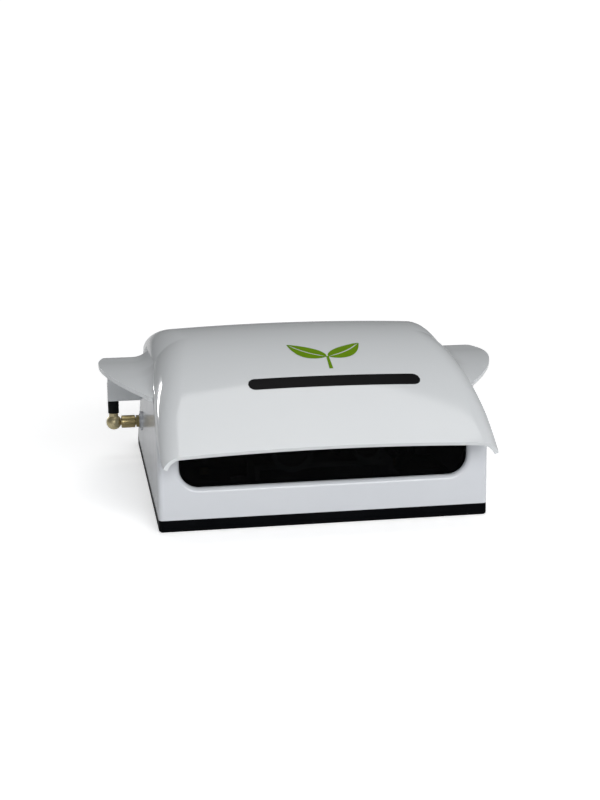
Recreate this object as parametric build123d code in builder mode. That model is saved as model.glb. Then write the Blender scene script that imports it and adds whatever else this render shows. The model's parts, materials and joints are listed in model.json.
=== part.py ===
from build123d import *
from math import cos, radians, sin, sqrt
import os

# A crop and soil sensing unit that bolts to a tractor's roof: two cameras look out
# through a dark window under a deep visor, and a stub antenna stands behind each
# side wing. The frame is +Z up and the window faces -Y. The origin is the centre of
# the base's underside. All sizes are millimetres.

# ---------------------------------------------------------------- driving dimensions
# Body and base
body_width = 220.0
body_depth = 270.0
base_thickness = 8.0
wall = 3.0
front_wall = 4.0
front_corner_radius = 3.0
rear_corner_radius = 10.0
rear_taper = 7.0  # lean of each side wall at the rear, from the base up to the seam
seam_height = 79.5  # where the hood's rim meets the body, at the sides and the rear
ledge_width = 12.0  # inner ledge that carries the hood
ledge_thickness = 3.0
tongue_wall = 2.0  # upstand inside the hood's rim
tongue_height = 6.0
thick_band = 31.5  # depth below the seam over which the wall is thicker

# Hood
hood_wall = 3.0
hood_fit = 0.3  # gap between the hood's inside and the body's tongue
seam_seal = 0.8  # rubber between the hood's rim and the body
crest_height = 116.8
crest_setback = 115.0  # from the front face to the highest point
visor_overhang = 29.0
lip_height = 59.3  # top of the visor's lip, in the middle
lip_rim_height = 49.5  # underside of the lip's drooping corners
lip_inset = 0.6  # each side of the lip stands in from the body's side
rim_run = 34.0  # behind the front face, where the rim has risen to the seam
rear_height = 85.0  # top of the hood at its rear edge
crown = 3.2  # rise of the roof from its sides to its middle
lip_corner_radius = 13.0
shoulder_corner_radius = 30.0  # widest rounding, where the roof's slope begins
shoulder_setback = 90.0
rear_edge_corner_radius = 4.0
front_curve = 2.1  # exponent of the slope from the crest to the lip
rear_curve = 3.0  # how soon the fall behind the crest becomes straight
radius_curve = 1.7  # how soon the rounding shrinks behind the shoulder

# Side wings, which arch down behind to shield the antennas
wing_span = 33.0  # beyond the body's side, at the widest
wing_rise = 12.9  # crest of the wing above the seam
wing_thickness = 3.0
wing_root_lead = 7.0  # behind the end of the hood's rising rim, where the wing grows out
wing_arch_lead = 76.0  # from the antennas' axis forward, where the wing begins to fall
wing_crest_lead = 19.0  # from there forward to the wing's crest
wing_tip_lead = 18.0  # and to its widest point
wing_arch_radius = 65.0
wing_end_height = 50.0
wing_rear_span = 25.5
wing_gap = 0.6  # between the hanging end of the wing and the body's side

# Window
window_side_margin = 14.0
window_height = 39.2
window_bottom = 28.4
window_corner_radius = 13.0
window_edge_radius = 3.2
pane_lap = 4.0
pane_thickness = 3.0
gasket_thickness = 1.0
frame_lap = 4.0
frame_clamp = 3.0  # thickness of the frame behind the pane
pane_fit = 0.3
frame_screw_radius = 1.0
frame_screw_bite = 3.0  # depth of the frame's screws in the front wall

# Cameras
lens_front_gap = 3.0
camera_axis_height = 46.6
camera_box = 29.0
main_camera_x = -19.5
main_lens_radius = 14.2
main_lens_length = 35.0
main_camera_length = 32.0
second_camera_x = 31.5
second_lens_radius = 10.7
second_lens_length = 24.0
second_camera_length = 26.0
lens_ring_depth = 3.0
lens_ring_width = 3.2
lens_glass_thickness = 2.6
lens_glass_inset = 2.0  # from the barrel's outside to the glass
lens_collar_length = 8.0
lens_waist = 1.2
lens_nose_radius = 7.0
lens_nose_length = 4.0
lens_fit = 0.15
bracket_thickness = 3.0
bracket_margin = 8.0
bracket_foot = 12.0
ribbon_width = 10.0
ribbon_thickness = 0.4

# Circuit board and what stands on it
board_width = 150.0
board_thickness = 1.6
board_gap = 20.0  # from the camera bracket to the board
board_past_antennas = 11.0
standoff_height = 6.0
standoff_radius = 3.0
standoff_inset = 5.0
processor_size = (70.0, 45.0, 5.0)
heatsink_height = 14.0
heatsink_base = 3.0
fin_thickness = 1.6
fin_count = 9
ribbon_socket_size = (14.0, 5.0, 3.0)
terminal_size = (16.0, 8.0, 8.0)
mast_radius = 6.0
mast_flange_radius = 11.0
mast_flange_thickness = 3.0
mast_height = 58.0
patch_board_size = 36.0
patch_size = 25.0
patch_thickness = 4.0

# Antennas
antenna_margin = 54.0  # from the rear face to the antennas' axis
antenna_height = 29.0
pad_radius = 7.5  # flat boss on the leaning wall, under each antenna's jack
pad_depth = 2.0  # the boss's reach behind the wall's inside
jack_radius = 3.1
jack_reach = 9.0
jack_flange_radius = 5.0
jack_flange_thickness = 3.0
jack_tail = 4.0
washer_thickness = 0.6
washer_radius = 5.6
jack_nut_radius = 5.0
jack_nut_thickness = 2.4
coupling_gap = 0.8
coupling_radius = 5.0
coupling_length = 11.0
coupling_end = 2.0  # end wall that holds the elbow's neck
elbow_neck_radius = 2.6
elbow_flange_radius = 2.95
elbow_flange_thickness = 1.2
elbow_radius = 6.0
elbow_offset = 20.6  # from the body's side to the elbow's centre
running_fit = 0.08
stub_radius = 4.3
stub_length = 38.0
stub_collar_radius = 3.6
stub_collar_height = 1.5
coax_radius = 0.65
coax_bend = 7.0
coax_socket_radius = 2.0
coax_socket_height = 3.0
coax_x = 60.0

# Fasteners, inserts and sockets
mount_spacing_x = 150.0
mount_spacing_y = 190.0
mount_bore_radius = 2.6
mount_insert_radius = 5.0
mount_bore_depth = 8.0
base_screw_radius = 2.0
base_boss_radius = 5.0
base_boss_height = 32.0
base_boss_margin = 18.0  # from the front and the rear to the nearest bosses
base_screw_bite = 22.0  # depth of the base's screws in the body's bosses
base_screw_recess = 4.6
hood_screw_radius = 1.9
hood_boss_radius = 4.5
hood_boss_setbacks = (62.0, 145.0)  # from the front face
hood_boss_rear_margin = 32.0  # from the rear face
hood_screw_bite = 7.5
small_screw_radius = 1.4
small_screw_bite = 4.0
clearance = 0.2
thread_fit = 0.05
gasket_groove_depth = 1.2
gasket_groove_width = 1.4
socket_radius = 6.0
socket_reach = 10.0
socket_bore_radius = 4.4
socket_flange_radius = 8.5
socket_flange_thickness = 2.5
socket_nut_thickness = 3.0
socket_tail = 8.0
socket_x = 45.0
socket_height = 36.0
pin_radius = 0.5
pin_circle = 2.3
lead_radius = 0.9
lead_bend = 9.0
vent_radius = 6.0
vent_cap_radius = 9.0
vent_cap_thickness = 4.5

# ---------------------------------------------------------------- derived places
half_width = body_width / 2
front_y = -body_depth / 2
rear_y = body_depth / 2
lip_y = front_y - visor_overhang
crest_y = front_y + crest_setback
shoulder_y = front_y + shoulder_setback
rim_y = front_y + rim_run
land_thickness = 3.0  # raised middle of the base, inside the walls
land_top = base_thickness + land_thickness
ledge_bottom = seam_height - ledge_thickness
frame_front = front_y + front_wall
frame_depth = gasket_thickness + pane_thickness + frame_clamp
frame_back = frame_front + frame_depth
window_width = body_width - 2 * window_side_margin
window_centre = window_bottom + window_height / 2
lens_front = frame_back + lens_front_gap
antenna_y = rear_y - antenna_margin
arch_y = antenna_y - wing_arch_lead
wing_crest_y = arch_y - wing_crest_lead
jack_depth = wall + pad_depth
bracket_front = lens_front + min(main_lens_length, second_lens_length) - 1
bracket_back = lens_front + max(
    main_lens_length + main_camera_length, second_lens_length + second_camera_length
)
bracket_top = camera_axis_height - camera_box / 2
board_bottom = land_top + standoff_height
board_top = board_bottom + board_thickness
board_front = bracket_back + board_gap
board_rear = antenna_y + board_past_antennas
nut_face = half_width + washer_thickness + jack_nut_thickness
coupling_start = nut_face + coupling_gap
coupling_finish = coupling_start + coupling_length
far = 500.0  # longer than anything here, for cutting through
plan_spare = 1.0  # keeps the outline that rounds the hood's rear corners off its sides

pieces = {}


def keep(name, builder):
    """Files a finished piece under its node's name."""
    pieces[name] = builder.part


# ---------------------------------------------------------------- outlines and surfaces
def side_lean(y, height):
    """How far the side wall leans in, at a depth and a height."""
    along = min(max((y - front_y) / body_depth, 0.0), 1.0)
    return rear_taper * along * (height - base_thickness) / (seam_height - base_thickness)


def plan_outline(inset, height=base_thickness, front_inset=None):
    """The body's outline at a height, seen from above, inset on every side."""
    front_inset = inset if front_inset is None else front_inset
    front_half = half_width - inset
    rear_half = half_width - inset - side_lean(rear_y, height)
    with BuildSketch() as outline:
        with BuildLine():
            Polyline(
                (-front_half, front_y + front_inset),
                (front_half, front_y + front_inset),
                (rear_half, rear_y - inset),
                (-rear_half, rear_y - inset),
                close=True,
            )
        make_face()
        fillet(outline.vertices().group_by(Axis.Y)[0], max(front_corner_radius - inset, 0.6))
        fillet(outline.vertices().group_by(Axis.Y)[-1], max(rear_corner_radius - inset, 0.6))
    return outline.sketch


def body_form(inset, low, high, front_inset=None):
    """Solid of the body's outline, inset, between two heights. Its sides follow the wall's lean."""
    with BuildPart() as form:
        for height in (low, high):
            with BuildSketch(Plane.XY.offset(height)):
                add(plan_outline(inset, height, front_inset))
        loft(ruled=True)
    return form.part


def roof_height(y):
    """Height of the hood's outside on its centre line."""
    if y < crest_y:
        run = (crest_y - y) / (crest_y - lip_y)
        return crest_height - (crest_height - lip_height) * run**front_curve
    run = (y - crest_y) / (rear_y - crest_y)
    fall = (sqrt(1 + (rear_curve * run) ** 2) - 1) / (sqrt(1 + rear_curve**2) - 1)
    return crest_height - (crest_height - rear_height) * fall


def corner_radius(y):
    """Radius between the hood's roof and its sides."""
    if y < shoulder_y:
        run = (shoulder_y - y) / (shoulder_y - lip_y)
        return shoulder_corner_radius + (lip_corner_radius - shoulder_corner_radius) * run
    left = (rear_y - y) / (rear_y - shoulder_y)
    return rear_edge_corner_radius + (shoulder_corner_radius - rear_edge_corner_radius) * left**radius_curve


def hood_half_width(y):
    """Half width of the hood, which narrows a little over the visor and towards the rear."""
    ahead = max(0.0, front_y - y) / visor_overhang
    return half_width - lip_inset * ahead - side_lean(y, seam_height)


def hood_plan(inset):
    """Outline that rounds the hood's rear corners and stands clear of its sides further forward."""
    front_half, rear_half = half_width - inset + plan_spare, hood_half_width(rear_y) - inset
    with BuildSketch() as plan:
        with BuildLine():
            Polyline(
                (-front_half, 2 * lip_y),
                (front_half, 2 * lip_y),
                (front_half, front_y),
                (rear_half, rear_y - inset),
                (-rear_half, rear_y - inset),
                (-front_half, front_y),
                close=True,
            )
        make_face()
        fillet(plan.vertices().group_by(Axis.Y)[-1], max(rear_corner_radius - inset, 0.6))
    return plan.sketch


def hood_form(inset, first_y, last_y):
    """Solid whose surface lies inset under the hood's outside, between two depths."""
    sections = 14
    floor = lip_rim_height - 30
    with BuildPart() as form:
        for step in range(sections + 1):
            y = first_y + (last_y - first_y) * step / sections
            half, top = hood_half_width(y) - inset, roof_height(y) - inset
            with BuildSketch(Plane.XZ.offset(-y)) as section:
                with BuildLine():
                    Polyline((-half, top - crown), (-half, floor), (half, floor), (half, top - crown))
                    ThreePointArc((half, top - crown), (0, top), (-half, top - crown))
                make_face()
                upper_corners = section.vertices().group_by(Axis.Y)[-1]
                fillet(upper_corners, radius=max(corner_radius(y) - inset, 1.0))
        loft()
        extrude(hood_plan(inset), amount=far, mode=Mode.INTERSECT)
    return form.part


def rim_solid(drop, spread):
    """Everything below the hood's rim line, lowered by drop."""
    slope = (seam_height - lip_rim_height) / (rim_y - lip_y)
    start = lip_y - visor_overhang
    with BuildPart() as below:
        with BuildSketch(Plane.YZ):
            with BuildLine():
                Polyline(
                    (start, -far),
                    (start, lip_rim_height - slope * visor_overhang - drop),
                    (rim_y, seam_height - drop),
                    (far, seam_height - drop),
                    (far, -far),
                    close=True,
                )
            make_face()
        extrude(amount=spread, both=True)
    return below.part


def wing_line(y):
    """Height of the wing's upper face, ahead of its arch."""
    run = min(max((wing_crest_y - y) / (wing_crest_y - rim_y), 0.0), 1.3)
    return seam_height + wing_rise * (1 - run**2)


# ---------------------------------------------------------------- places of repeats
base_boss_top = base_thickness + base_boss_height
base_boss_places = [
    (s * (half_width - wall - base_boss_radius - side_lean(y, base_boss_top)), y)
    for s in (-1, 1)
    for y in (front_y + base_boss_margin, 0, rear_y - base_boss_margin)
]
hood_boss_inset = hood_wall + hood_fit + tongue_wall + clearance + hood_boss_radius
hood_boss_places = [
    (s * (hood_half_width(y) - hood_boss_inset), y)
    for s in (-1, 1)
    for y in (*[front_y + setback for setback in hood_boss_setbacks], rear_y - hood_boss_rear_margin)
]
mount_places = [
    (sx * mount_spacing_x / 2, sy * mount_spacing_y / 2) for sx in (-1, 1) for sy in (-1, 1)
]
frame_screw_x = (0.45 * window_width, 0.16 * window_width)
frame_screw_z = window_height / 2 + pane_lap + pane_fit + frame_lap / 2
frame_screw_places = [
    (sx * x, window_centre + sz * frame_screw_z) for sx in (-1, 1) for x in frame_screw_x for sz in (-1, 1)
]

# ---------------------------------------------------------------- shared solids
hood_outside = hood_form(0, lip_y, rear_y)
hood_inside = hood_form(hood_wall, lip_y - 2, rear_y - hood_wall)
under_hood = hood_form(hood_wall + hood_fit, front_y, rear_y - hood_wall - hood_fit)
below_rim = rim_solid(0, far)
below_shoulder = rim_solid(seam_seal, far)

# ---------------------------------------------------------------- hood
with BuildPart() as hood_bosses:
    with BuildSketch(Plane.XY.offset(seam_height)):
        with Locations(*hood_boss_places):
            Circle(hood_boss_radius)
    extrude(amount=crest_height - seam_height)
    add(hood_outside, mode=Mode.INTERSECT)

with BuildPart() as wings:
    arch_z = seam_height + wing_rise - wing_arch_radius
    wing_steps = [rim_y - 4 + (arch_y - rim_y + 4) * i / 6 for i in range(7)]
    end_drop = arch_z - wing_end_height
    end_outer = arch_y + sqrt(wing_arch_radius**2 - end_drop**2)
    inner_arch = wing_arch_radius - wing_thickness
    end_inner = arch_y + sqrt(inner_arch**2 - end_drop**2)
    with BuildSketch(Plane.YZ):
        with BuildLine():
            outer_line = Spline(*[(y, wing_line(y)) for y in wing_steps])
            ThreePointArc(
                outer_line @ 1,
                (arch_y + wing_arch_radius * sin(radians(40)), arch_z + wing_arch_radius * cos(radians(40))),
                (end_outer, wing_end_height),
            )
            Line((end_outer, wing_end_height), (end_inner, wing_end_height))
            ThreePointArc(
                (end_inner, wing_end_height),
                (arch_y + inner_arch * sin(radians(40)), arch_z + inner_arch * cos(radians(40))),
                (arch_y, arch_z + inner_arch),
            )
            inner_line = Spline(*[(y, wing_line(y) - wing_thickness) for y in reversed(wing_steps)])
            Line(inner_line @ 1, outer_line @ 0)
        make_face()
    extrude(amount=half_width + wing_span + 5, both=True)
    with BuildSketch(Plane.XY.offset(-1)):
        with BuildLine():
            tip, rear_tip = half_width + wing_span, half_width + wing_rear_span
            root_y, tip_y = rim_y + wing_root_lead, arch_y - wing_tip_lead
            leading = Spline(
                (half_width - wing_thickness, root_y),
                (half_width + 0.45 * wing_span, root_y + 0.2 * (tip_y - root_y)),
                (half_width + 0.84 * wing_span, root_y + 0.45 * (tip_y - root_y)),
                (tip, tip_y),
                tangents=((1, 1), (0, 1)),
            )
            trailing = Spline(leading @ 1, (rear_tip, arch_y + 24), tangents=((0, 1), (0, 1)))
            Polyline(trailing @ 1, (rear_tip, rear_y), (0, rear_y), (0, root_y), leading @ 0)
        make_face()
        mirror(about=Plane.YZ)
    extrude(amount=far, mode=Mode.INTERSECT)
    add(hood_inside, mode=Mode.SUBTRACT)
    with BuildSketch(Plane.XY.offset(-1)):
        Rectangle(2 * (half_width + wing_gap), body_depth)
    extrude(amount=seam_height + 1, mode=Mode.SUBTRACT)

with BuildPart() as hood_shell:
    add(hood_outside)
    add(hood_inside, mode=Mode.SUBTRACT)
    add(below_rim, mode=Mode.SUBTRACT)
    add(wings.part)
    add(hood_bosses.part)
    with Locations(*[(x, y, seam_height) for x, y in hood_boss_places]):
        Cylinder(hood_screw_radius + thread_fit, 2 * hood_screw_bite + 1, mode=Mode.SUBTRACT)
keep("hood_shell", hood_shell)

with BuildPart() as hood_seal:
    add(body_form(0.4, base_thickness, seam_height))
    add(body_form(hood_wall - 0.2, base_thickness, seam_height), mode=Mode.SUBTRACT)
    add(below_rim, mode=Mode.INTERSECT)
    add(below_shoulder, mode=Mode.SUBTRACT)
    with BuildSketch(Plane.XY.offset(-1)):
        with Locations((0, front_y)):
            Rectangle(body_width + 2, 2 * front_wall)
    extrude(amount=far, mode=Mode.SUBTRACT)
keep("hood_seal", hood_seal)

# ---------------------------------------------------------------- body
tongue_inset = hood_wall + hood_fit + tongue_wall
with BuildPart() as tongue:
    add(under_hood)
    extrude(plan_outline(tongue_inset, seam_height, front_wall), amount=far, mode=Mode.SUBTRACT)
    with BuildSketch(Plane.XY.offset(seam_height + tongue_height)):
        with Locations((0, frame_front + far / 2)):
            Rectangle(far, far)
    extrude(amount=far, mode=Mode.SUBTRACT)
    with BuildSketch():
        Rectangle(far, far)
    extrude(amount=lip_rim_height, mode=Mode.SUBTRACT)


def boss_sketch(margin):
    """Outline of the base's bosses and the webs that join them to the side walls."""
    with BuildSketch() as outline:
        with Locations(*base_boss_places):
            Circle(base_boss_radius + margin)
        for x, y in base_boss_places:
            with Locations(((x + (half_width if x > 0 else -half_width)) / 2, y)):
                Rectangle(half_width - abs(x), base_boss_radius + 2 * margin)
    return outline.sketch


with BuildPart() as base_bosses:
    with BuildSketch(Plane.XY.offset(base_thickness)):
        add(boss_sketch(0))
    extrude(amount=base_boss_height)
    add(body_form(wall / 2, base_thickness, base_boss_top), mode=Mode.INTERSECT)

with BuildPart() as body_shell:
    add(body_form(0, base_thickness, seam_height))
    add(below_shoulder, mode=Mode.INTERSECT)
    add(tongue.part)
    thick_from = seam_height - thick_band
    add(body_form(wall, base_thickness, thick_from, front_wall), mode=Mode.SUBTRACT)
    add(body_form(tongue_inset, thick_from, ledge_bottom, front_wall), mode=Mode.SUBTRACT)
    extrude(
        plan_outline(wall + ledge_width, seam_height, front_wall).moved(Location((0, 0, ledge_bottom - 1))),
        amount=ledge_thickness + 2,
        mode=Mode.SUBTRACT,
    )
    add(base_bosses.part)
    with Locations(*[(x, y, base_thickness) for x, y in base_boss_places]):
        Cylinder(base_screw_radius + thread_fit, 2 * base_screw_bite + 1, mode=Mode.SUBTRACT)
    with Locations(*[(x, y, ledge_bottom) for x, y in hood_boss_places]):
        Cylinder(hood_screw_radius + clearance, 3 * ledge_thickness, mode=Mode.SUBTRACT)
    with BuildSketch(Plane.XZ.offset(-front_y)):
        with Locations((0, window_centre)):
            RectangleRounded(window_width, window_height, window_corner_radius)
    extrude(amount=-front_wall - 1, both=False, mode=Mode.SUBTRACT)
    with Locations(*[(x, frame_front, z) for x, z in frame_screw_places]):
        Cylinder(
            frame_screw_radius + thread_fit,
            2 * frame_screw_bite + 0.4,
            rotation=(90, 0, 0),
            mode=Mode.SUBTRACT,
        )
    for s in (-1, 1):
        with BuildSketch(Plane.YZ.offset(s * half_width)):
            with Locations((antenna_y, antenna_height)):
                Circle(pad_radius)
        extrude(amount=-s * jack_depth)
    with Locations(*[(s * half_width, antenna_y, antenna_height) for s in (-1, 1)]):
        Cylinder(jack_radius + clearance, 6 * wall, rotation=(0, 90, 0), mode=Mode.SUBTRACT)
    with Locations((socket_x, rear_y, socket_height), (-socket_x, rear_y, socket_height)):
        Cylinder(socket_radius + clearance, 4 * wall, rotation=(90, 0, 0), mode=Mode.SUBTRACT)
    front_face = body_shell.faces().filter_by(Plane.XZ).sort_by(Axis.Y)[0]
    fillet(front_face.inner_wires()[0].edges(), radius=window_edge_radius)
keep("body_shell", body_shell)

# ---------------------------------------------------------------- base
bracket_left = main_camera_x - camera_box / 2 - bracket_margin
bracket_right = second_camera_x + camera_box / 2 + bracket_margin
bracket_foot_places = [
    (x, y)
    for x in (bracket_left - bracket_foot / 2, bracket_right + bracket_foot / 2)
    for y in (bracket_front + 8, bracket_back - 8)
]
standoff_places = [
    (s * (board_width / 2 - standoff_inset), y)
    for s in (-1, 1)
    for y in (board_front + standoff_inset, board_rear - standoff_inset)
]
mast_y = board_rear + mast_flange_radius + 3
mast_screw_places = [(s * (mast_flange_radius - 2.7), mast_y) for s in (-1, 1)]
small_screw_places = bracket_foot_places + standoff_places + mast_screw_places

with BuildPart() as base_plate:
    with BuildSketch():
        add(plan_outline(0))
    extrude(amount=base_thickness)
    chamfer(base_plate.faces().sort_by(Axis.Z)[0].edges(), length=0.8)
    with BuildSketch(Plane.XY.offset(base_thickness)):
        add(plan_outline(wall + clearance, land_top, front_wall + clearance))
        add(boss_sketch(clearance), mode=Mode.SUBTRACT)
    extrude(amount=land_thickness)
    with BuildSketch(Plane.XY.offset(base_thickness)):
        add(plan_outline((wall - gasket_groove_width) / 2))
        add(plan_outline((wall + gasket_groove_width) / 2), mode=Mode.SUBTRACT)
    extrude(amount=-gasket_groove_depth, mode=Mode.SUBTRACT)
    with Locations(*[(x, y, 0) for x, y in base_boss_places]):
        Cylinder(base_screw_radius + clearance, 2 * base_thickness + 1, mode=Mode.SUBTRACT)
        Cylinder(2 * base_screw_radius + clearance, 2 * base_screw_recess, mode=Mode.SUBTRACT)
    with Locations(*[(x, y, 0) for x, y in mount_places]):
        Cylinder(mount_insert_radius, 2 * mount_bore_depth, mode=Mode.SUBTRACT)
    with Locations(*[(x, y, land_top) for x, y in small_screw_places]):
        Cylinder(small_screw_radius + thread_fit, 2 * small_screw_bite + 0.4, mode=Mode.SUBTRACT)
keep("base_plate", base_plate)

with BuildPart() as base_gasket:
    with BuildSketch(Plane.XY.offset(base_thickness)):
        add(plan_outline((wall - gasket_groove_width) / 2))
        add(plan_outline((wall + gasket_groove_width) / 2), mode=Mode.SUBTRACT)
    extrude(amount=-gasket_groove_depth)
keep("base_gasket", base_gasket)

with BuildPart() as mount_inserts:
    with Locations(*[(x, y, 0) for x, y in mount_places]):
        Cylinder(mount_insert_radius, mount_bore_depth, align=(Align.CENTER, Align.CENTER, Align.MIN))
        Cylinder(mount_bore_radius, 2 * mount_bore_depth, mode=Mode.SUBTRACT)
keep("mount_inserts", mount_inserts)


# ---------------------------------------------------------------- screws
def cap_screws(places, shaft_radius, length):
    """Socket-head screws whose heads sit under the given places and whose shafts rise from them."""
    head_radius, head_height = 1.9 * shaft_radius, 1.9 * shaft_radius
    with BuildPart() as screws:
        with Locations(*places):
            Cylinder(head_radius, head_height, align=(Align.CENTER, Align.CENTER, Align.MAX))
        chamfer(screws.edges().filter_by(GeomType.CIRCLE), length=0.12 * head_radius)
        with Locations(*places):
            Cylinder(shaft_radius, length, align=(Align.CENTER, Align.CENTER, Align.MIN))
        for place in places:
            with BuildSketch(Plane(place).offset(-head_height)):
                RegularPolygon(0.55 * head_radius, 6)
            extrude(amount=0.6 * head_height, mode=Mode.SUBTRACT)
    return screws


def pointing_up(places, height):
    """Places of screws that rise from a height."""
    return [Location((x, y, height)) for x, y in places]


def pointing_down(places, height):
    """Places of screws that go down from a height."""
    return [Location((x, y, height), (180, 0, 0)) for x, y in places]


base_screw_length = base_thickness - base_screw_recess + base_screw_bite
base_screw_planes = pointing_up(base_boss_places, base_screw_recess)
keep("base_screws", cap_screws(base_screw_planes, base_screw_radius, base_screw_length))
hood_screw_length = ledge_thickness + hood_screw_bite
hood_screw_planes = pointing_up(hood_boss_places, ledge_bottom)
keep("hood_screws", cap_screws(hood_screw_planes, hood_screw_radius, hood_screw_length))
frame_screw_seats = [Location((x, frame_back, z), (90, 0, 0)) for x, z in frame_screw_places]
frame_screw_length = frame_depth + frame_screw_bite
keep("window_frame_screws", cap_screws(frame_screw_seats, frame_screw_radius, frame_screw_length))
foot_seats = pointing_down(bracket_foot_places, land_top + bracket_thickness)
keep("bracket_screws", cap_screws(foot_seats, small_screw_radius, bracket_thickness + small_screw_bite))
board_seats = pointing_down(standoff_places, board_top)
keep("board_screws", cap_screws(board_seats, small_screw_radius, board_thickness + standoff_height / 2))
mast_seats = pointing_down(mast_screw_places, land_top + mast_flange_thickness)
keep("mast_screws", cap_screws(mast_seats, small_screw_radius, mast_flange_thickness + small_screw_bite))

# ---------------------------------------------------------------- window
pane_width = window_width + 2 * pane_lap
pane_height = window_height + 2 * pane_lap
pane_corner = window_corner_radius + pane_lap
window_plane = Plane(origin=(0, frame_front, window_centre), x_dir=(1, 0, 0), z_dir=(0, 1, 0))

with BuildPart() as window_gasket:
    with BuildSketch(window_plane):
        RectangleRounded(pane_width, pane_height, pane_corner)
        RectangleRounded(
            window_width + 1, window_height + 1, window_corner_radius + 0.5, mode=Mode.SUBTRACT
        )
    extrude(amount=gasket_thickness)
keep("window_gasket", window_gasket)

with BuildPart() as window_pane:
    with BuildSketch(window_plane.offset(gasket_thickness)):
        RectangleRounded(pane_width, pane_height, pane_corner)
    extrude(amount=pane_thickness)
keep("window_pane", window_pane)

with BuildPart() as window_frame:
    frame_reach = pane_fit + frame_lap
    with BuildSketch(window_plane):
        RectangleRounded(
            pane_width + 2 * frame_reach, pane_height + 2 * frame_reach, pane_corner + frame_reach
        )
    extrude(amount=frame_depth)
    with BuildSketch(window_plane):
        RectangleRounded(pane_width + 2 * pane_fit, pane_height + 2 * pane_fit, pane_corner + pane_fit)
    extrude(amount=gasket_thickness + pane_thickness, mode=Mode.SUBTRACT)
    with BuildSketch(window_plane):
        RectangleRounded(window_width, window_height, window_corner_radius)
    extrude(amount=frame_depth, mode=Mode.SUBTRACT)
    with Locations(*[(x, frame_back, z) for x, z in frame_screw_places]):
        Cylinder(
            frame_screw_radius + clearance, 2 * frame_depth + 1, rotation=(90, 0, 0), mode=Mode.SUBTRACT
        )
keep("window_frame", window_frame)


# ---------------------------------------------------------------- cameras
def make_camera(prefix, x, radius, length, box_length):
    """One camera: a lens ring, its glass, its barrel and the camera's body behind."""
    axis = Plane(origin=(x, lens_front, camera_axis_height), x_dir=(1, 0, 0), z_dir=(0, 1, 0))
    glass_radius = radius - lens_glass_inset
    glass_back = lens_ring_depth + lens_glass_thickness

    with BuildPart() as lens_ring:
        with BuildSketch(axis):
            Circle(radius)
            Circle(radius - lens_ring_width, mode=Mode.SUBTRACT)
        extrude(amount=lens_ring_depth)
        chamfer(lens_ring.faces().sort_by(Axis.Y)[0].edges(), length=0.6)
    keep(prefix + "_lens_ring", lens_ring)

    with BuildPart() as lens_glass:
        with BuildSketch(axis.offset(lens_ring_depth)):
            Circle(glass_radius)
        extrude(amount=lens_glass_thickness)
    keep(prefix + "_lens_glass", lens_glass)

    with BuildPart() as lens_barrel:
        with BuildSketch(axis.offset(lens_ring_depth)):
            Circle(radius)
        extrude(amount=lens_collar_length)
        with BuildSketch(axis.offset(lens_ring_depth)):
            Circle(radius - lens_waist)
        extrude(amount=length - lens_ring_depth)
        with BuildSketch(axis.offset(length)):
            Circle(lens_nose_radius)
        extrude(amount=lens_nose_length)
        with BuildSketch(axis.offset(lens_ring_depth)):
            Circle(glass_radius + lens_fit)
        extrude(amount=lens_glass_thickness, mode=Mode.SUBTRACT)
        with BuildSketch(axis.offset(glass_back)):
            Circle(glass_radius - lens_glass_inset)
        extrude(amount=lens_collar_length, mode=Mode.SUBTRACT)
    keep(prefix + "_lens_barrel", lens_barrel)

    with BuildPart() as camera_body:
        with BuildSketch(axis.offset(length)):
            RectangleRounded(camera_box, camera_box, 2)
        extrude(amount=box_length)
        with BuildSketch(axis.offset(length)):
            Circle(lens_nose_radius + lens_fit)
        extrude(amount=lens_nose_length + lens_fit, mode=Mode.SUBTRACT)
        with Locations(*[(x, y, bracket_top) for y in camera_screw_ys(length, box_length)]):
            Cylinder(small_screw_radius + thread_fit, 2 * small_screw_bite + 0.4, mode=Mode.SUBTRACT)
    keep(prefix + "_camera_body", camera_body)

    with BuildPart() as ribbon:
        with BuildSketch(Plane.YZ.offset(x - ribbon_width / 2)):
            back = lens_front + length + box_length
            drop_y = bracket_back + board_gap / 2
            run_z = board_top + ribbon_socket_size[2] / 2
            with BuildLine():
                FilletPolyline(
                    (back, camera_axis_height),
                    (drop_y, camera_axis_height),
                    (drop_y, run_z),
                    (board_front + 2, run_z),
                    radius=min(board_gap / 2 - 1, 6),
                )
            trace(line_width=ribbon_thickness)
        extrude(amount=ribbon_width)
    keep(prefix + "_camera_ribbon", ribbon)


def camera_screw_ys(length, box_length):
    """Depths of the two screws that hold a camera down."""
    middle = lens_front + length + box_length / 2
    return [middle - box_length / 4, middle + box_length / 4]


cameras = {
    "main": (main_camera_x, main_lens_radius, main_lens_length, main_camera_length),
    "second": (second_camera_x, second_lens_radius, second_lens_length, second_camera_length),
}
camera_screw_places = []
for prefix, (x, radius, length, box_length) in cameras.items():
    make_camera(prefix, x, radius, length, box_length)
    camera_screw_places += [(x, y) for y in camera_screw_ys(length, box_length)]
camera_seats = pointing_up(camera_screw_places, bracket_top - bracket_thickness)
keep("camera_screws", cap_screws(camera_seats, small_screw_radius, bracket_thickness + small_screw_bite))

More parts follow.
